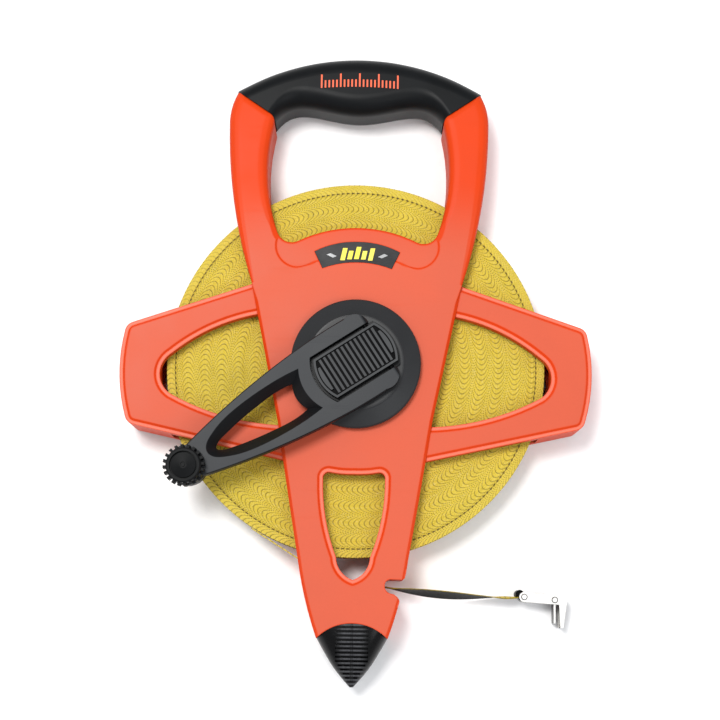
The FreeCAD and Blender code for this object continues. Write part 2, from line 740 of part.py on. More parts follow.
def knob_cap():
    """Shallow cone let into the knob with an open groove round it and a small pip in the middle."""
    at = (CRANK_REACH, 0.0)
    body = tube(7.2, KNOB_TOP - 1.9, KNOB_TOP - 1.0, at)
    body = body.fuse(Part.makeCone(7.2, 2.0, 1.0, p(at, KNOB_TOP - 1.0)))
    body = body.cut(tube(1.7, KNOB_TOP - 0.6, 70, at).cut(tube(0.9, 0, 71, at)))
    wall = tube(7.9, KNOB_TOP - 3.3, KNOB_TOP - 1.9, at).cut(tube(6.4, 0, 70, at))
    return whole(placed(body.fuse(wall)))


# ---------------------------------------------------------------- tape outside the pack

def bend_point():
    """Where the middle lines of the lead and of the exit run cross."""
    off = PACK_R + 0.3 + TAPE_T / 2
    n = V(math.sin(LEAD_SLOPE), -math.cos(LEAD_SLOPE), 0)
    d = V(math.cos(EXIT_SLOPE), math.sin(EXIT_SLOPE), 0)
    s = (off - n.dot(p(EXIT))) / n.dot(d)
    return (EXIT[0] + s * d.x, EXIT[1] + s * d.y)


ROLLER_BEND = bend_point()
HALF_TURN = (EXIT_SLOPE - LEAD_SLOPE) / 2
MID_SLOPE = (EXIT_SLOPE + LEAD_SLOPE) / 2
BEND_R = ROLLER_R + 0.3 + TAPE_T / 2
ROLLER_AT = (ROLLER_BEND[0] - math.sin(MID_SLOPE) * BEND_R / math.cos(HALF_TURN),
             ROLLER_BEND[1] + math.cos(MID_SLOPE) * BEND_R / math.cos(HALF_TURN))
TANG_PINS = {-1: -163.0, 1: -144.0}


def tape_lead():
    """The run from the pack, round the guide roller and out to the notch."""
    off = PACK_R + 0.3 + TAPE_T / 2
    start = V(math.sin(LEAD_SLOPE) * off, -math.cos(LEAD_SLOPE) * off, 0)
    reach = BEND_R * math.tan(HALF_TURN)
    bend = p(ROLLER_BEND)
    a = bend - V(math.cos(LEAD_SLOPE), math.sin(LEAD_SLOPE), 0) * reach
    b = bend + V(math.cos(EXIT_SLOPE), math.sin(EXIT_SLOPE), 0) * reach
    middle = p(ROLLER_AT) + V(math.sin(MID_SLOPE), -math.cos(MID_SLOPE), 0) * BEND_R
    half = TAPE_T / 2
    edges = []
    n1 = V(math.sin(LEAD_SLOPE), -math.cos(LEAD_SLOPE), 0) * half
    n2 = V(math.sin(EXIT_SLOPE), -math.cos(EXIT_SLOPE), 0) * half
    nm = V(math.sin(MID_SLOPE), -math.cos(MID_SLOPE), 0) * half
    end = p(EXIT)
    edges.append(Part.makeLine(start + n1, a + n1))
    edges.append(Part.Arc(a + n1, middle + nm, b + n2).toShape())
    edges.append(Part.makeLine(b + n2, end + n2))
    edges.append(Part.makeLine(end + n2, end - n2))
    edges.append(Part.makeLine(end - n2, b - n2))
    edges.append(Part.Arc(b - n2, middle - nm, a - n1).toShape())
    edges.append(Part.makeLine(a - n1, start - n1))
    edges.append(Part.makeLine(start - n1, start + n1))
    return prism(Part.Face(Part.Wire(edges)), PACK_LOW, PACK_HIGH)


def guide_roller():
    return tube(ROLLER_R, PACK_LOW - 0.6, PACK_HIGH + 0.6, ROLLER_AT).cut(
        tube(ROLLER_PIN_R + FIT, 0, FRONT, ROLLER_AT))


def guide_pin():
    return tube(ROLLER_PIN_R, MID - TAPE_W / 2 - 4.5, MID + TAPE_W / 2 + 4.5, ROLLER_AT)


def slot_wipers():
    """Two felt pads just inside the notch, one on each face of the tape."""
    out = []
    for side in (-1, 1):
        pad = box(-5.4, -1.4, 0.3 if side > 0 else -2.1, 2.1 if side > 0 else -0.3, PACK_LOW - 0.9, PACK_HIGH + 0.9)
        pad.rotate(V(0, 0, 0), V(0, 0, 1), math.degrees(EXIT_SLOPE))
        pad.translate(p(EXIT))
        out.append(pad)
    return Part.makeCompound(out)


TAIL = [V(EXIT[0], EXIT[1], MID), V(42.0, -131.6, 15.8), V(72.0, -133.6, 8.6), V(97.2, -133.3, HOOK_MID)]


def tail_path():
    """Straight runs joined by tangent arcs; each arc uses 0.45 of the shorter run beside it."""
    edges = []
    length = 0.0
    here = TAIL[0]
    for i in range(1, len(TAIL) - 1):
        before = TAIL[i] - TAIL[i - 1]
        after = TAIL[i + 1] - TAIL[i]
        turn = before.getAngle(after)
        cut = 0.45 * min(before.Length, after.Length)
        radius = cut / math.tan(turn / 2)
        u = V(before).normalize()
        w = V(after).normalize()
        a = TAIL[i] - u * cut
        b = TAIL[i] + w * cut
        inward = V(w - u).normalize()
        top = TAIL[i] + inward * (radius / math.cos(turn / 2) - radius)
        edges.append(Part.makeLine(here, a))
        edges.append(Part.Arc(a, top, b).toShape())
        length += (a - here).Length + radius * turn
        print("tail bend %d: radius %.1f mm, turn %.1f degrees" % (i, radius, math.degrees(turn)))
        here = b
    edges.append(Part.makeLine(here, TAIL[-1]))
    length += (TAIL[-1] - here).Length
    return Part.Wire(edges), length


def tape_tail():
    path, length = tail_path()
    d = (TAIL[1] - TAIL[0]).normalize()
    side = V(-d.y, d.x, 0).normalize() * (TAPE_T / 2)
    up = V(0, 0, TAPE_W / 2)
    c = TAIL[0]
    corners = [c - side - up, c + side - up, c + side + up, c - side + up, c - side - up]
    shell = Part.BRepOffsetAPI.MakePipeShell(path)
    shell.setBiNormalMode(V(0, 0, 1))
    shell.add(Part.makePolygon(corners), False, False)
    shell.build()
    shell.makeSolid()
    body = shell.shape()
    want = TAPE_W * TAPE_T * length
    print("tail length %.2f mm, volume %.1f mm3, section x length %.1f mm3" % (length, body.Volume, want))
    return body


def hook_plate():
    """Flat L of the end fitting seen along the pins: a round left end, an arm and a leg."""
    return face_of([
        (100.8, -130.0),
        (122.0, -131.4),
        (125.4, -132.2, 126.0, -134.8),
        (123.6, -150.6),
        (121.8, -150.6),
        (121.2, -137.2),
        (100.8, -135.8),
        (97.9, -132.9, 100.8, -130.0)])


def hook_body():
    """Folded sheet channel: two L plates joined by a web along the back of the arm and down the leg."""
    plates = prism(hook_plate(), HOOK_LOW, HOOK_LOW + HOOK_T)
    plates = plates.fuse(prism(hook_plate(), HOOK_HIGH - HOOK_T, HOOK_HIGH))
    leg = face_of([(125.0, -133.0), (126.0, -134.8), (123.6, -150.6), (122.6, -150.6), (125.0, -134.8),
                   (125.0, -133.0)])
    back = face_of([(105.5, -130.3), (122.0, -131.4), (125.4, -132.2, 126.0, -134.8), (125.0, -134.8),
                    (124.6, -132.9, 121.9, -132.4), (105.5, -131.3), (105.5, -130.3)])
    body = plates.fuse([prism(leg, HOOK_LOW, HOOK_HIGH), prism(back, HOOK_LOW, HOOK_HIGH)])
    for at in (HOOK_PIN_A, HOOK_PIN_B):
        body = body.cut(tube(HOOK_PIN_R, -1, 20, at))
    return whole(body)


def hook_pins():
    out = []
    for at in (HOOK_PIN_A, HOOK_PIN_B):
        pin = tube(HOOK_PIN_R, HOOK_LOW, HOOK_HIGH, at)
        out.append(whole(pin.fuse(Part.makeCone(1.9, 1.4, 0.5, p(at, HOOK_HIGH)))))
    return Part.makeCompound(out)


def hook_claw():
    """Inner claw that swings on the second pin, from square to the tape to flat against it."""
    barrel = tube(1.8, HOOK_LOW + HOOK_T + 0.4, HOOK_HIGH - HOOK_T - 0.4, HOOK_PIN_B)
    blade = box(HOOK_PIN_B[0] - 0.6, HOOK_PIN_B[0] + 0.6, HOOK_PIN_B[1] - 13.6, HOOK_PIN_B[1] - 1.0,
                HOOK_LOW + HOOK_T + 0.4, HOOK_HIGH - HOOK_T - 0.4)
    body = barrel.fuse(blade)
    return whole(body.cut(tube(HOOK_PIN_R + FIT, -1, 20, HOOK_PIN_B)))


def tape_loop():
    """End of the tape: it meets the free run, goes round the first pin of the fitting and is folded back."""
    low = HOOK_LOW + HOOK_T + 0.3
    high = HOOK_HIGH - HOOK_T - 0.3
    end = TAIL[-1]
    tongue = box(end.x + 0.05, HOOK_PIN_A[0] - 1.0, end.y - TAPE_T / 2, end.y + TAPE_T / 2, low, high)
    fold = tube(2.5, low, high, (HOOK_PIN_A[0] - 2.5, HOOK_PIN_A[1] + 1.6)).cut(
        box(0, 200, -140, end.y - TAPE_T / 2, 0, 20)).cut(box(0, end.x, -140, end.y + TAPE_T / 2 + 0.3, 0, 20))
    body = tube(2.4, low, high, HOOK_PIN_A).fuse([tongue, fold])
    return whole(body.cut(tube(HOOK_PIN_R, 0, 20, HOOK_PIN_A)))


def build():
    grip_solid = grip()
    marks = grip_marks()
    label = prism(label_face(0.15), FRONT - 1.6, FRONT - 0.3)
    marks_on_label = label_marks()
    studs = label_studs()
    save("front_frame", front_frame())
    save("back_frame", back_frame())
    save("frame_screws", frame_screws())
    save("grip", whole(grip_solid.cut(marks)))
    save("grip_marks", marks)
    save("label_plate", whole(label.cut(marks_on_label).cut(studs)))
    save("label_marks", marks_on_label)
    save("label_studs", studs)
    save("spike_boot", spike_boot())
    save("spike_tang", spike_tang())
    save("tang_pins", tang_pins())
    save("front_bush", front_bush())
    save("back_bush", back_bush())
    save("back_cap", back_cap())
    save("friction_washer", friction_washer())
    save("spindle", spindle())
    save("drum", drum())
    save("tape_anchor", tape_anchor())
    save("tape_pack", tape_pack())
    save("hub_disc", hub_disc())
    save("drive_screw", drive_screw())
    save("end_washer", end_washer())
    save("end_screw", end_screw())
    save("pivot_block", pivot_block())
    save("ribbed_pad", ribbed_pad())
    save("hinge_pin", hinge_pin())
    save("crank_arm", crank_arm())
    save("knob_pin", knob_pin())
    save("knob", knob())
    save("knob_cap", knob_cap())
    save("tape_lead", tape_lead())
    save("guide_roller", guide_roller())
    save("guide_pin", guide_pin())
    save("slot_wipers", slot_wipers())
    save("tape_tail", tape_tail())
    save("tape_loop", tape_loop())
    save("hook_body", hook_body())
    save("hook_pins", hook_pins())
    save("hook_claw", hook_claw())


build()
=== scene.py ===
import math
import random

import bpy
from mathutils import Matrix, Vector


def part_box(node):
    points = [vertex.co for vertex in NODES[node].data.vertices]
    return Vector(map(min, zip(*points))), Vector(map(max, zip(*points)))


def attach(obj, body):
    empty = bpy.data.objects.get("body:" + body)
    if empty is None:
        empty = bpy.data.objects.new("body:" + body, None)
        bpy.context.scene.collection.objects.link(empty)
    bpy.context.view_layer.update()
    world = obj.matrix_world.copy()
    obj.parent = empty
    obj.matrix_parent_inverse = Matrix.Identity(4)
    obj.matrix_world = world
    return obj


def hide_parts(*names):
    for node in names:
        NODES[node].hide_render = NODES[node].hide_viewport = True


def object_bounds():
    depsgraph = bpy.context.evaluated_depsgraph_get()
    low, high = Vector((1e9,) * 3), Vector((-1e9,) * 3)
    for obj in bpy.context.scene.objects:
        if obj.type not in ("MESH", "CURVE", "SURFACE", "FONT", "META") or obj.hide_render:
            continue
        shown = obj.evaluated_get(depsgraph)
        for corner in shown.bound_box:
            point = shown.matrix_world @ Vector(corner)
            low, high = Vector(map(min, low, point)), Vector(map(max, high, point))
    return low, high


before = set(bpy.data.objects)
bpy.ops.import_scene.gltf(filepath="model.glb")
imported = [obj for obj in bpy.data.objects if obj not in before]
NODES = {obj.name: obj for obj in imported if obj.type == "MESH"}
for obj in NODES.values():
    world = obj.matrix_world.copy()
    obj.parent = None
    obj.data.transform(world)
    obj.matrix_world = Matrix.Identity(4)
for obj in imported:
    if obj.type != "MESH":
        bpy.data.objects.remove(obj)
cad_low, cad_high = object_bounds()
SCENE = bpy.context.scene
MM = 0.001
ROUND = 2 * math.pi

# ---------------------------------------------------------------- camera

LENS = 77.83
SENSOR = 36.0
CAMERA_AT = (0.00248, -0.14785, 0.93697)
CAMERA_TILT = math.radians(9.5)
CAMERA_ROLL = math.radians(0.8)


def make_camera():
    data = bpy.data.cameras.new("camera")
    data.lens = LENS
    data.sensor_width = SENSOR
    data.clip_start = 0.01
    data.clip_end = 20.0
    camera = bpy.data.objects.new("camera", data)
    SCENE.collection.objects.link(camera)
    tilt = Matrix.Rotation(CAMERA_TILT, 4, "X")
    roll = Matrix.Rotation(CAMERA_ROLL, 4, "Z")
    camera.matrix_world = Matrix.Translation(CAMERA_AT) @ tilt @ roll
    SCENE.camera = camera


make_camera()

# ---------------------------------------------------------------- free end of the tape

TAPE_WIDE = 13.0 * MM
TAPE_THICK = 0.5 * MM
TAPE_CROWN = 0.35 * MM
TAPE_STEPS = 10
TAIL = [(0.0186, -0.1286, 0.0185), (0.0420, -0.1316, 0.0158),
        (0.0720, -0.1336, 0.0086), (0.0972, -0.1333, 0.0070)]
LEAN = math.radians(18.5)
LEAN_BACK = 0.34 * LEAN
LEAN_FROM = 0.06
LEAN_TO = 0.82
LEAN_SKEW = 0.9


def spline_points(name, points):
    """The points of a smooth NURBS line with these control points."""
    curve = bpy.data.curves.new(name, "CURVE")
    curve.dimensions = "3D"
    curve.resolution_u = 24
    spline = curve.splines.new("NURBS")
    spline.points.add(len(points) - 1)
    for at, point in zip(spline.points, points):
        at.co = (*point, 1.0)
    spline.order_u = 3
    spline.use_endpoint_u = True
    holder = bpy.data.objects.new(name, curve)
    SCENE.collection.objects.link(holder)
    bpy.context.view_layer.update()
    mesh = bpy.data.meshes.new_from_object(holder)
    found = [v.co.copy() for v in mesh.vertices]
    bpy.data.objects.remove(holder)
    bpy.data.meshes.remove(mesh)
    return found


def new_object(name, verts, faces, smooth=True, slots=None):
    mesh = bpy.data.meshes.new(name)
    mesh.from_pydata(verts, [], faces)
    if slots:
        mesh.polygons.foreach_set("material_index", slots)
    mesh.polygons.foreach_set("use_smooth", [smooth] * len(mesh.polygons))
    mesh.update()
    piece = bpy.data.objects.new(name, mesh)
    SCENE.collection.objects.link(piece)
    return piece


def lean_at(share):
    """How far the tape leans over: most before the middle, then a little the other way before the fitting."""
    if share < LEAN_FROM:
        return 0.0
    if share > LEAN_TO:
        return -LEAN_BACK * math.sin(math.pi * (share - LEAN_TO) / (1.0 - LEAN_TO))
    return LEAN * math.sin(math.pi * ((share - LEAN_FROM) / (LEAN_TO - LEAN_FROM)) ** LEAN_SKEW)


def ribbon_section():
    """The corners of the tape's section, up one broad face and down the other."""
    up = []
    down = []
    for i in range(TAPE_STEPS + 1):
        v = -1.0 + 2.0 * i / TAPE_STEPS
        bow = TAPE_CROWN * (1 - v * v)
        up.append((bow + TAPE_THICK / 2, v * TAPE_WIDE / 2))
        down.append((bow - TAPE_THICK / 2, v * TAPE_WIDE / 2))
    return up + down[::-1]


def ribbon_slot(k, count):
    """Material slot of the face after corner k: 0 and 2 on the broad faces, 1 on the two edges."""
    if k in (TAPE_STEPS, count - 1):
        return 1
    return 0 if k < TAPE_STEPS else 2


def tape_ribbon(path):
    """The flat tape standing on its edge; its section turns about the line as the tape leans."""
    along = [0.0]
    for a, b in zip(path, path[1:]):
        along.append(along[-1] + (b - a).length)
    section = ribbon_section()
    count = len(section)
    verts = []
    for i, point in enumerate(path):
        before = path[max(i - 1, 0)]
        after = path[min(i + 1, len(path) - 1)]
        t = (after - before).normalized()
        side = Vector((-t.y, t.x, 0)).normalized()
        rise = t.cross(side)
        lean = lean_at(along[i] / along[-1])
        u = side * math.cos(lean) - rise * math.sin(lean)
        w = rise * math.cos(lean) + side * math.sin(lean)
        for a, b in section:
            verts.append(point + u * a + w * b)
    faces = []
    slots = []
    for i in range(len(path) - 1):
        for k in range(count):
            a = i * count + k
            b = i * count + (k + 1) % count
            faces.append((a, b, b + count, a + count))
            slots.append(ribbon_slot(k, count))
    faces.append(tuple(range(count - 1, -1, -1)))
    faces.append(tuple(range((len(path) - 1) * count, len(path) * count)))
    slots += [1, 1]
    return new_object("tape_end", verts, faces, False, slots)


tail_path = spline_points("tail_route", TAIL)
tape_end = tape_ribbon(tail_path)
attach(tape_end, "frame")
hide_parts("tape_tail")

# ---------------------------------------------------------------- materials


class Shade:
    """One procedural material. Its methods add a node and give the node's output."""

    def __init__(self, name):
        self.material = bpy.data.materials.new(name)
        self.material.use_nodes = True
        self.tree = self.material.node_tree
        self.tree.nodes.clear()
        self.surface = self.add("ShaderNodeBsdfPrincipled")
        out = self.add("ShaderNodeOutputMaterial")
        self.tree.links.new(self.surface.outputs["BSDF"], out.inputs["Surface"])
        self.place = self.add("ShaderNodeTexCoord").outputs["Object"]

    def add(self, kind):
        return self.tree.nodes.new(kind)

    def put(self, socket, value):
        if isinstance(value, bpy.types.NodeSocket):
            self.tree.links.new(value, socket)
        elif isinstance(value, tuple) and len(value) == 3 and socket.type == "RGBA":
            socket.default_value = (*value, 1.0)
        else:
            socket.default_value = value

    def math(self, what, a, b=0.0):
        node = self.add("ShaderNodeMath")
        node.operation = what
        self.put(node.inputs[0], a)
        self.put(node.inputs[1], b)
        return node.outputs[0]

    def times(self, a, *others):
        for b in others:
            a = self.math("MULTIPLY", a, b)
        return a

    def plus(self, a, b):
        return self.math("ADD", a, b)

    def unsigned(self, a):
        return self.math("ABSOLUTE", a)

    def gap(self, a, b):
        """How far a is from b."""
        return self.unsigned(self.math("SUBTRACT", a, b))

    def off_middle(self, value):
        """How far the value is from the middle of its unit, 0 to 0.5."""
        return self.gap(self.math("FRACT", value), 0.5)

    def scaled(self, x, y, z):
        node = self.add("ShaderNodeVectorMath")
        node.operation = "MULTIPLY"
        self.put(node.inputs[0], self.place)
        self.put(node.inputs[1], (x, y, z))
        return node.outputs[0]

    def from_axis(self, x, y):
        """Distance from the upright axis of the piece's frame."""
        flat = self.add("ShaderNodeCombineXYZ")
        self.put(flat.inputs[0], x)
        self.put(flat.inputs[1], y)
        node = self.add("ShaderNodeVectorMath")
        node.operation = "LENGTH"
        self.put(node.inputs[0], flat.outputs[0])
        return node.outputs[1]

    def noise(self, scale, detail=2.0, rough=0.5, at=None, bend=0.0):
        node = self.add("ShaderNodeTexNoise")
        self.put(node.inputs["Vector"], at or self.place)
        node.inputs["Scale"].default_value = scale
        node.inputs["Detail"].default_value = detail
        node.inputs["Roughness"].default_value = rough
        node.inputs["Distortion"].default_value = bend
        return node.outputs["Fac"]

    def cells(self, scale):
        node = self.add("ShaderNodeTexVoronoi")
        node.feature = "SMOOTH_F1"
        self.put(node.inputs["Vector"], self.place)
        node.inputs["Scale"].default_value = scale
        return node.outputs["Distance"]

    def span(self, value, low, high, out_low=0.0, out_high=1.0):
        """Maps low..high smoothly to out_low..out_high."""
        node = self.add("ShaderNodeMapRange")
        node.interpolation_type = "SMOOTHSTEP"
        for socket, number in zip(node.inputs, (value, low, high, out_low, out_high)):
            self.put(socket, number)
        return node.outputs[0]

    def spread(self, value, out_low=0.0, out_high=1.0):
        """Maps the usual range of a noise smoothly to out_low..out_high."""
        return self.span(value, NOISE_LOW, NOISE_HIGH, out_low, out_high)

    def band(self, value, inner, outer, out_high=0.0):
        """1 where the value is under inner, falling smoothly to out_high at outer."""
        return self.span(value, inner, outer, 1.0, out_high)

    def mix(self, share, a, b):
        node = self.add("ShaderNodeMix")
        node.data_type = "RGBA"
        self.put(node.inputs[0], share)
        self.put(node.inputs[6], a)
        self.put(node.inputs[7], b)
        return node.outputs[2]

    def mottled(self, value, colour, darker, paler):
        """The colour, varied by a noise between darker and paler times itself."""
        return self.mix(self.spread(value), tinted(colour, darker), tinted(colour, paler))

    def split(self, vector):
        node = self.add("ShaderNodeSeparateXYZ")
        self.put(node.inputs[0], vector)
        return node.outputs

    def level(self):
        """How far the surface faces up in the piece's frame, -1 to 1."""
        return self.split(self.add("ShaderNodeTexCoord").outputs["Normal"])[2]

    def rounded_level(self, radius):
        """The same, averaged over what lies within the radius."""
        node = self.add("ShaderNodeVectorTransform")
        node.vector_type = "NORMAL"
        node.convert_from = "WORLD"
        node.convert_to = "OBJECT"
        self.put(node.inputs[0], self.soft_edges(radius))
        return self.split(node.outputs[0])[2]

    def bump(self, height, strength, deep, under=None):
        node = self.add("ShaderNodeBump")
        node.inputs["Strength"].default_value = strength
        node.inputs["Distance"].default_value = deep
        self.put(node.inputs["Height"], height)
        if under is not None:
            self.put(node.inputs["Normal"], under)
        return node.outputs[0]

    def soft_edges(self, radius):
        node = self.add("ShaderNodeBevel")
        node.samples = 4
        self.put(node.inputs["Radius"], radius)
        return node.outputs[0]

    def finish(self, colour, rough, normal, **fixed):
        self.put(self.surface.inputs["Base Color"], colour)
        self.put(self.surface.inputs["Roughness"], rough)
        self.put(self.surface.inputs["Normal"], normal)
        for name, value in fixed.items():
            self.put(self.surface.inputs[name.replace("_", " ")], value)
        return self.material


def tinted(colour, by):
    return tuple(c * by for c in colour)


NOISE_LOW = 0.3
NOISE_HIGH = 0.7
LEDGE_HEIGHTS = (1.0, 3.0, 34.0, 36.0)
# Painted highlight: the pinker tone laid along the ledges round the frame's faces.
LEDGE_PAINTED_HIGHLIGHT = (0.66, 0.150, 0.095)
LEDGE_ROUND = 1.3 * MM
BOOT_BLACK = (0.0012, 0.0012, 0.0015)
# Painted highlight on the boot's ribs.
BOOT_RIB_HIGHLIGHT = (0.060, 0.061, 0.066)
RIB_START = 153.4 * MM
RIB_PITCH = 2.4 * MM
FILM_DARK = (0.010, 0.0104, 0.0115)
FILM_PALE = (0.021, 0.0215, 0.023)


def with_painted_sheen(s, base, tone, painted_sheen, vary, frame_plate, above):
    """The base with a painted sheen on its level faces: a paler, textured tone standing in for the light
    caught by faces turned up, while upright faces keep the darker base as painted shade.

    On the frame's plates the painted sheen keeps clear of edges, fades out up the handle legs and is palest
    on the ledges round the faces, where it is a painted highlight. Elsewhere it lies only on faces above the
    given height in mm.
    """
    y, z = s.split(s.place)[1:]
    lit_tone = s.mottled(tone, painted_sheen, 1.0 - vary, 1.0 + vary)
    if not frame_plate:
        share = s.times(s.span(s.level(), 0.90, 0.99), s.span(z, (above - 0.3) * MM, above * MM))
        return s.mix(share, base, lit_tone)
    share = s.times(s.span(s.unsigned(s.rounded_level(LEDGE_ROUND)), 0.965, 0.997), s.band(y, 0.060, 0.115))
    base = s.mix(share, base, lit_tone)
    for height in LEDGE_HEIGHTS:
        # Painted highlight along each ledge, inside the painted sheen.
        ledge_highlight = s.band(s.gap(z, height * MM), 0.05 * MM, 0.20 * MM)
        base = s.mix(s.times(ledge_highlight, share), base, LEDGE_PAINTED_HIGHLIGHT)
    return base


def moulded(name, colour, rough, grain=1.0, grain_size=1.1, edge=0.35, vary=0.05, shine=0.15,
            handle=0.0, painted_sheen=None, above=None):
    """Injection-moulded plastic: fine spark-eroded grain, slow flow marks and faint scuffs.

    Edges are rounded by edge mm. On the frame they are rounded by handle mm more on the handle legs. Given a
    sheen colour, level faces are painted paler as a painted sheen and upright faces stay darker as painted
    shade.
    """
    s = Shade(name)
    slow = s.noise(26.0, 3.0, 0.55)
    fine = s.noise(1000.0 / grain_size, 3.0, 0.6)
    tone = s.plus(s.times(slow, 0.7), s.times(fine, 0.3))
    base = s.mottled(tone, colour, 1.0 - vary, 1.0 + vary)
    if painted_sheen:
        base = with_painted_sheen(s, base, tone, painted_sheen, vary, handle > 0.0, above)
    scuffs = s.span(s.noise(9.0, 4.0, 0.7, s.scaled(1.0, 14.0, 6.0), 0.6), 0.56, 0.70)
    dull = s.plus(s.span(slow, 0.25, 0.75, rough - 0.05, rough + 0.05), s.times(scuffs, 0.06))
    dull = s.plus(dull, s.times(fine, 0.04))
    radius = edge * MM
    if handle:
        radius = s.span(s.split(s.place)[1], 0.075, 0.110, edge * MM, (edge + handle) * MM)
    pebbles = s.cells(1000.0 / (grain_size * 0.9))
    grainy = s.bump(pebbles, 0.16 * grain, 0.06 * MM, s.soft_edges(radius))
    normal = s.bump(fine, 0.22 * grain, 0.05 * MM, grainy)
    return s.finish(base, dull, normal, Specular_IOR_Level=shine)


def boot_gloss():
    """Glossy black moulding of the spike's cover, with a painted highlight greying the ribs along its middle.
    """
    s = Shade("boot_gloss")
    fine = s.noise(900.0, 3.0, 0.6)
    x, y = s.split(s.place)[:2]
    middle = s.band(s.unsigned(x), 4.0 * MM, 10.0 * MM)
    rib = s.math("FRACT", s.times(s.plus(y, RIB_START), 1.0 / RIB_PITCH))
    proud = s.band(s.gap(rib, 0.25), 0.14, 0.26)
    # Painted highlight: grey on the rib tops across the middle, fading to black towards the sides.
    wear_and_highlight = s.times(middle, proud, s.span(fine, 0.25, 0.6, 0.6, 1.0))
    base = s.mix(wear_and_highlight, BOOT_BLACK, BOOT_RIB_HIGHLIGHT)
    normal = s.bump(fine, 0.15, 0.04 * MM, s.soft_edges(0.2 * MM))
    return s.finish(base, s.spread(fine, 0.22, 0.34), normal, Specular_IOR_Level=0.16)


def rubber(name, colour):
    """Soft over-moulded rubber: satin, with a fine sandy grain and faint dust in it."""
    s = Shade(name)
    fine = s.noise(1500.0, 4.0, 0.65)
    slow = s.noise(40.0, 3.0, 0.5)
    dust = s.span(s.noise(240.0, 4.0, 0.7), 0.58, 0.74, 0.0, 0.35)
    base = s.mix(dust, s.mottled(slow, colour, 0.85, 1.15), tinted(colour, 1.9))
    dull = s.plus(s.spread(slow, 0.34, 0.40), s.times(fine, 0.08))
    normal = s.bump(fine, 0.30, 0.05 * MM, s.soft_edges(0.5 * MM))
    return s.finish(base, dull, normal, Sheen_Weight=0.01, Sheen_Roughness=0.5, Specular_IOR_Level=0.11)


def metal(name, colour, rough, stretch=(1.0, 30.0, 1.0), scratch=0.25, wall_shade=1.0):
    """Plated sheet or turned metal: fine scratches one way, smudged gloss, small dark specks.

    Faces that stand upright in the piece's frame are the wall factor times as bright as level ones: painted
    shade on the sides where that factor is under 1.
    """
    s = Shade(name)
    lines = s.noise(900.0, 3.0, 0.6, s.scaled(*stretch))
    smudge = s.noise(60.0, 4.0, 0.6)
    specks = s.span(s.noise(700.0, 2.0, 0.5), 0.66, 0.74, 0.0, 0.5)
    base = s.mix(specks, s.mottled(smudge, colour, 0.90, 1.06), tinted(colour, 0.45))
    # Painted shade: upright faces take the colour times the wall factor.
    base = s.mix(s.span(s.unsigned(s.level()), 0.80, 0.97), tinted(colour, wall_shade), base)
    dull = s.plus(s.spread(smudge, rough - 0.05, rough + 0.07), s.times(lines, 0.08))
    normal = s.bump(lines, scratch, 0.02 * MM, s.soft_edges(0.2 * MM))
    return s.finish(base, dull, normal, Metallic=1.0)


def printed(name, colour, rough=0.4, metallic=0.0):
    """Raised print: a thin ink film, a little uneven and pitted."""
    s = Shade(name)
    fine = s.noise(1800.0, 3.0, 0.6)
    slow = s.noise(120.0, 2.0, 0.5)
    pits = s.span(fine, 0.62, 0.72, 0.0, 0.35)
    base = s.mix(pits, s.mottled(slow, colour, 0.88, 1.06), tinted(colour, 0.55))
    dull = s.spread(slow, rough - 0.06, rough + 0.08)
    return s.finish(base, dull, s.bump(fine, 0.2, 0.02 * MM), Metallic=metallic)


def felt(name, colour):
    s = Shade(name)
    fibres = s.noise(1600.0, 5.0, 0.75, None, 1.2)
    base = s.mix(s.span(fibres, 0.35, 0.65), tinted(colour, 0.6), tinted(colour, 1.3))
    normal = s.bump(fibres, 0.8, 0.12 * MM)
    return s.finish(base, s.spread(fibres, 0.85, 0.98), normal, Sheen_Weight=0.4, Sheen_Roughness=0.6)


def label_film():
    """Dark label: satin film with a fine brushed look along its length."""
    s = Shade("label_film")
    brushed = s.noise(500.0, 3.0, 0.6, s.scaled(1.0, 16.0, 1.0))
    slow = s.noise(70.0, 2.0, 0.5)
    base = s.mix(s.spread(brushed), FILM_DARK, FILM_PALE)
    normal = s.bump(brushed, 0.15, 0.02 * MM, s.soft_edges(0.25 * MM))
    return s.finish(base, s.spread(slow, 0.42, 0.52), normal, Specular_IOR_Level=0.2)


# The printed ticks follow the length of a spiral. Its pitch, TURN, is chosen so that their arcs look like
# those of the photograph, not measured. Radii and pitches here are in mm.
TURN = 0.4625
TICK = 3.048
LONG_TICK = TICK * 5
RIM_R = 112.0
BAND_FROM = 107.2
RING_R = 106.9
RING_DASHES = 222.0
YELLOW = (0.53, 0.395, 0.030)
YELLOW_PALE = (0.61, 0.48, 0.080)
YELLOW_WORN = (0.60, 0.50, 0.17)
INK = (0.045, 0.034, 0.010)
RING_INK = (0.035, 0.022, 0.008)
MIDDLE = 18.5 * MM


def turn_ticks(s, turn_share, turns, inside):
    """A tick on each turn where the spiral's length passes a whole pitch."""
    wound = s.plus(turns, turn_share)
    length = s.times(s.times(wound, wound), math.pi * TURN)
    off = s.off_middle(s.math("DIVIDE", length, TICK))
    return s.times(s.band(off, 0.07, 0.14), s.span(inside, 0.25, 0.45))


def rim_marks(s, r, z, turn_share):
    """Short and long graduations across the outer face of the last turn."""
    mm_round = s.times(turn_share, ROUND * RIM_R)
    short = s.off_middle(s.math("DIVIDE", mm_round, TICK))
    long = s.off_middle(s.math("DIVIDE", mm_round, LONG_TICK))
    near_edge = s.span(s.gap(z, MIDDLE), 3.1 * MM, 3.3 * MM)
    marks = s.math("MAXIMUM", s.times(s.band(short, 0.09, 0.13), near_edge), s.band(long, 0.018, 0.026))
    return s.times(marks, s.span(r, RIM_R - 0.45, RIM_R - 0.25))


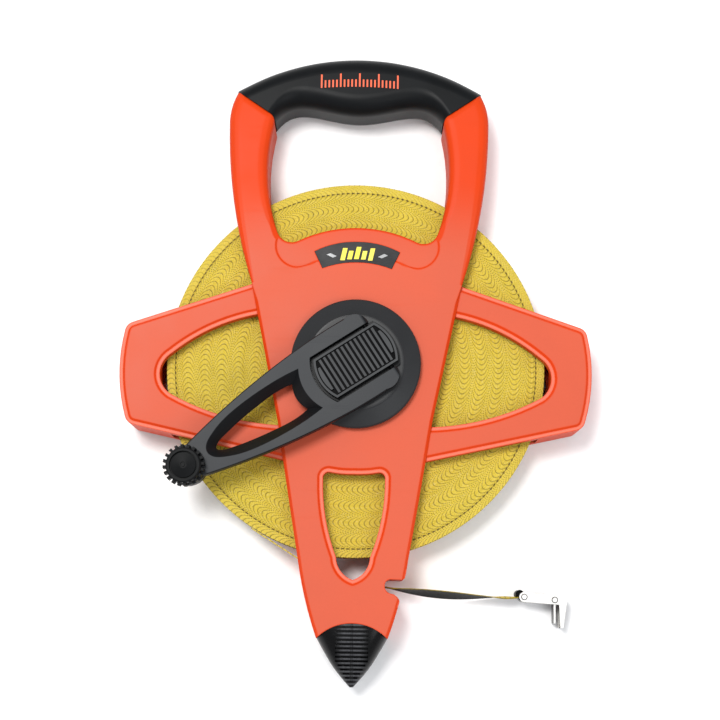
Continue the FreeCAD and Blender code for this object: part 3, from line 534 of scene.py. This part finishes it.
def pack_print():
    """The wound tape: edges of the turns with their ticks, a dashed ring, a paler outer band and the rim."""
    s = Shade("pack_print")
    x, y, z = s.split(s.place)
    r = s.times(s.from_axis(x, y), 1000.0)
    turn_share = s.math("DIVIDE", s.math("ARCTAN2", y, x), ROUND)
    along = s.math("SUBTRACT", s.math("DIVIDE", r, TURN), turn_share)
    turns = s.math("FLOOR", along)
    inside = s.math("FRACT", along)
    tick = turn_ticks(s, turn_share, turns, inside)
    seam = s.span(s.gap(inside, 0.5), 0.34, 0.5)
    white = s.add("ShaderNodeTexWhiteNoise")
    white.noise_dimensions = "1D"
    s.put(white.inputs["W"], turns)
    per_turn = white.outputs["Value"]

    base = s.mottled(s.noise(90.0, 3.0, 0.6), YELLOW, 0.93, 1.05)
    base = s.mix(s.times(per_turn, 0.35), base, YELLOW_PALE)
    dust = s.span(s.noise(1500.0, 2.0, 0.6), 0.48, 0.70, 0.0, 0.50)
    base = s.mix(dust, base, tinted(YELLOW, 0.50))
    # Patches of wear on the tape's coat, paler yellow.
    wear_and_highlight = s.span(s.noise(1150.0, 2.0, 0.6, s.scaled(1.0, 1.0, 3.0)), 0.52, 0.72, 0.0, 0.55)
    base = s.mix(wear_and_highlight, base, YELLOW_WORN)
    base = s.mix(s.times(seam, 0.30), base, tinted(YELLOW, 0.42))

    faded = s.spread(s.noise(160.0, 3.0, 0.6), 0.74, 1.0)
    outer = s.span(r, BAND_FROM, BAND_FROM + 0.5)
    blank = s.times(outer, s.span(y, -0.030, 0.020), 0.45)
    shown = s.times(tick, s.times(faded, s.math("SUBTRACT", 1.0, blank)))
    base = s.mix(s.times(outer, 0.20), base, YELLOW_PALE)
    base = s.mix(shown, base, INK)
    ring = s.band(s.gap(r, RING_R), 0.25, 0.55)
    dash = s.band(s.off_middle(s.times(turn_share, RING_DASHES)), 0.22, 0.34, 0.25)
    base = s.mix(s.times(ring, dash, 0.85), base, RING_INK)
    base = s.mix(s.times(rim_marks(s, r, z, turn_share), 0.9), base, INK)

    rough = s.spread(s.noise(300.0, 3.0, 0.6), 0.48, 0.62)
    height = s.math("SUBTRACT", s.times(per_turn, 0.5), seam)
    normal = s.bump(s.noise(900.0, 3.0, 0.6), 0.15, 0.04 * MM, s.bump(height, 0.5, 0.08 * MM))
    return s.finish(base, rough, normal, Specular_IOR_Level=0.15)


def tape_face(name, colour, ink):
    """The broad face of the free tape: woven glass under a thin coat, printed with ticks across it."""
    s = Shade(name)
    x, _, z = s.split(s.place)
    weave = s.times(s.math("SINE", s.times(z, 5200.0)), 0.5)
    cross = s.times(s.math("SINE", s.times(x, 4200.0)), 0.5)
    fine = s.noise(1200.0, 3.0, 0.6)
    tick = s.band(s.off_middle(s.times(x, 1000.0 / TICK)), 0.08, 0.14)
    base = s.mix(s.times(tick, 0.6), s.mottled(fine, colour, 0.8, 1.25), ink)
    normal = s.bump(s.times(weave, cross), 0.4, 0.05 * MM)
    return s.finish(base, s.spread(fine, 0.38, 0.52), normal, Specular_IOR_Level=0.04)


def tape_edge():
    """The cut edge of the tape: yellow coat with the darker glass core showing through in places."""
    s = Shade("tape_edge")
    fine = s.noise(700.0, 3.0, 0.6)
    base = s.mix(s.span(fine, 0.45, 0.62), tinted(YELLOW, 0.45), tinted(YELLOW, 0.22))
    return s.finish(base, s.spread(fine, 0.55, 0.7), s.bump(fine, 0.3, 0.04 * MM), Specular_IOR_Level=0.05)


# Where a moulding below is given a sheen colour, its level faces get a painted sheen and its upright faces
# stay darker as painted shade: on the crank, on the knob and pad tops, and on the frame's plates and ledges.
FINISH = {
    "orange": moulded("orange_moulding", (0.57, 0.040, 0.002), 0.46, 1.0, 1.2, 0.45, 0.035, handle=1.8,
                      painted_sheen=(0.52, 0.084, 0.040)),
    "grip": rubber("grip_rubber_grain", (0.0035, 0.0042, 0.0050)),
    "boot": boot_gloss(),
    "crank": moulded("crank_satin", (0.006, 0.0065, 0.0075), 0.42, 0.9, 0.7, 0.35, 0.12,
                     painted_sheen=(0.027, 0.029, 0.032), above=52.5),
    "hub": moulded("hub_satin", (0.017, 0.018, 0.0195), 0.38, 0.9, 0.7, 0.35, 0.12, 0.22),
    "knob": moulded("knob_satin", (0.006, 0.0064, 0.007), 0.42, 0.8, 0.6, 0.25, 0.12, 0.07,
                    painted_sheen=(0.004, 0.0045, 0.005), above=60.5),
    "pad": moulded("pad_matt", (0.002, 0.002, 0.0025), 0.46, 0.6, 0.5, 0.15, 0.12, 0.03,
                   painted_sheen=(0.060, 0.062, 0.064), above=53.5),
    "acetal": moulded("bush_acetal", (0.60, 0.59, 0.55), 0.45, 0.5, 0.8, 0.2, 0.03),
    "core": moulded("core_grey", (0.10, 0.10, 0.105), 0.45, 0.8, 0.9, 0.3, 0.06),
    "label": label_film(),
    "yellow_print": printed("yellow_ink", (0.78, 0.66, 0.02)),
    "orange_print": printed("orange_ink", (0.75, 0.10, 0.03), 0.5),
    "silver_print": printed("silver_ink", (0.22, 0.225, 0.23), 0.42, 0.5),
    "steel": metal("steel_turned", (0.42, 0.42, 0.43), 0.34),
    "bright": metal("nickel_plate", (0.62, 0.61, 0.59), 0.38, (30.0, 1.0, 1.0), 0.3, 0.18),
    "felt": felt("felt_fibre", (0.05, 0.05, 0.055)),
    "pack": pack_print(),
    "tape_yellow": tape_face("tape_yellow_face", YELLOW, INK),
    "tape_black": tape_face("tape_black_face", (0.0025, 0.0025, 0.0022), (0.001, 0.001, 0.001)),
    "tape_edge": tape_edge(),
}

PIECES = {
    "orange": ["front_frame", "back_frame"],
    "grip": ["grip"],
    "orange_print": ["grip_marks"],
    "label": ["label_plate"],
    "yellow_print": ["label_marks"],
    "silver_print": ["label_studs"],
    "boot": ["spike_boot"],
    "steel": ["spike_tang", "tang_pins", "frame_screws", "guide_pin", "spindle", "tape_anchor", "drive_screw",
              "end_washer", "end_screw", "knob_pin"],
    "acetal": ["front_bush", "back_bush", "guide_roller"],
    "crank": ["back_cap", "pivot_block", "crank_arm"],
    "felt": ["friction_washer", "slot_wipers"],
    "tape_yellow": ["tape_lead"],
    "tape_black": ["tape_tail", "tape_loop"],
    "bright": ["hook_body", "hook_pins", "hook_claw"],
    "core": ["drum"],
    "pack": ["tape_pack"],
    "hub": ["hub_disc"],
    "pad": ["ribbed_pad", "hinge_pin"],
    "knob": ["knob", "knob_cap"],
}


def dress(piece, *materials):
    if len(piece.data.materials):
        piece.data.materials.clear()
    for material in materials:
        piece.data.materials.append(material)


for finish_name, piece_names in PIECES.items():
    for piece_name in piece_names:
        dress(NODES[piece_name], FINISH[finish_name])
dress(tape_end, FINISH["tape_yellow"], FINISH["tape_edge"], FINISH["tape_black"])

# ---------------------------------------------------------------- the wound tape

PACK_AROUND = 288
PACK_GROUPS = 82
PACK_CORE = 30.0 * MM
PACK_SEED = 7
LEVEL_KEPT = 0.72
LEVEL_STEP = 0.075
LOBE_CHOICE = (2, 3, 5)
LOBE_RISE = 0.05
SINK_USUAL = 0.16
SINK_MOST = 0.75
GAP_GROUP = PACK_GROUPS - 6
GAP_WIDE = 0.42
GAP_NARROW = 0.07
GAP_RIM = 0.10


def group_levels():
    """For each group of turns: how high it stands, and the turn and the number of its waves."""
    rng = random.Random(PACK_SEED)
    levels = []
    level = 0.0
    for _ in range(PACK_GROUPS):
        level = LEVEL_KEPT * level + rng.uniform(-LEVEL_STEP, LEVEL_STEP)
        levels.append((level, rng.uniform(0, ROUND), rng.choice(LOBE_CHOICE)))
    return levels


def pack_profile(rim):
    """Rings from core to rim as (radius, group, how deep the gap before the group is)."""
    pitch = (rim - PACK_CORE) / PACK_GROUPS
    profile = []
    for k in range(PACK_GROUPS):
        r = PACK_CORE + pitch * k
        profile.append((r, k, GAP_WIDE if k == GAP_GROUP else GAP_NARROW))
        profile.append((r + pitch * 0.22, k, 0.0))
        profile.append((r + pitch * 0.78, k, 0.0))
    profile.append((rim - 0.02 * MM, PACK_GROUPS - 1, GAP_RIM))
    return profile


def pack_faces(rings):
    """Both flat sides ring by ring, then the rim and the bore."""
    faces = []
    for side in (0, 1):
        base = side * rings * PACK_AROUND
        for j in range(rings - 1):
            for i in range(PACK_AROUND):
                a = base + j * PACK_AROUND + i
                b = base + j * PACK_AROUND + (i + 1) % PACK_AROUND
                quad = (a, a + PACK_AROUND, b + PACK_AROUND, b)
                faces.append(quad if side == 0 else quad[::-1])
    top = (rings - 1) * PACK_AROUND
    inner = rings * PACK_AROUND
    bottom = inner + top
    for i in range(PACK_AROUND):
        j = (i + 1) % PACK_AROUND
        faces.append((top + i, bottom + i, bottom + j, top + j))
        faces.append((j, inner + j, inner + i, i))
    return faces


def wound_pack():
    """The pack as wound turns: each group of turns stands a little higher or lower than the next."""
    low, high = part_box("tape_pack")
    levels = group_levels()
    profile = pack_profile(high.x)
    verts = []
    for side, face_z in ((1, high.z), (-1, low.z)):
        for r, k, gap in profile:
            level, turn, lobes = levels[k]
            for i in range(PACK_AROUND):
                a = ROUND * i / PACK_AROUND
                sink = SINK_USUAL + gap - level - LOBE_RISE * math.sin(lobes * a + turn)
                sink = min(max(sink, 0.0), SINK_MOST)
                verts.append((r * math.cos(a), r * math.sin(a), face_z - side * sink * MM))
    return new_object("wound_tape", verts, pack_faces(len(profile)))


pack = wound_pack()
dress(pack, FINISH["pack"])
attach(pack, "spool")
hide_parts("tape_pack")

# ---------------------------------------------------------------- floor and light

FLOOR_HALF = 4.0
FLOOR_DARK = (0.90, 0.90, 0.905)
FLOOR_PALE = (0.92, 0.92, 0.925)
WORLD_COLOUR = (0.97, 0.98, 1.0, 1.0)
WORLD_STRENGTH = 0.69


def make_floor():
    s = Shade("floor_paper")
    fine = s.noise(220.0, 3.0, 0.6)
    colour = s.mix(s.spread(fine), FLOOR_DARK, FLOOR_PALE)
    material = s.finish(colour, 0.95, s.bump(fine, 0.05, 0.05 * MM), Specular_IOR_Level=0.1)
    level = cad_low.z - 0.05 * MM
    corners = [(x * FLOOR_HALF, y * FLOOR_HALF, level) for x, y in ((-1, -1), (1, -1), (1, 1), (-1, 1))]
    floor = new_object("floor", corners, [(0, 1, 2, 3)], False)
    dress(floor, material)


def make_light(name, at, wide, power, colour):
    """A square softbox that faces the middle of the object."""
    data = bpy.data.lights.new(name, "AREA")
    data.shape = "SQUARE"
    data.size = wide
    data.energy = power
    data.color = colour
    light = bpy.data.objects.new(name, data)
    SCENE.collection.objects.link(light)
    light.location = at
    light.rotation_mode = "QUATERNION"
    light.rotation_quaternion = (-Vector(at)).to_track_quat("-Z", "Y")


def make_world():
    world = bpy.data.worlds.new("studio")
    world.use_nodes = True
    background = world.node_tree.nodes["Background"].inputs
    background["Color"].default_value = WORLD_COLOUR
    background["Strength"].default_value = WORLD_STRENGTH
    SCENE.world = world


make_floor()
make_light("key_softbox", (-0.28, 0.28, 1.25), 0.4, 14.5, (1.0, 0.99, 0.97))
make_light("fill_softbox", (0.55, -0.45, 1.10), 0.7, 4.5, (0.96, 0.98, 1.0))
make_world()
SCENE.view_settings.view_transform = "Standard"
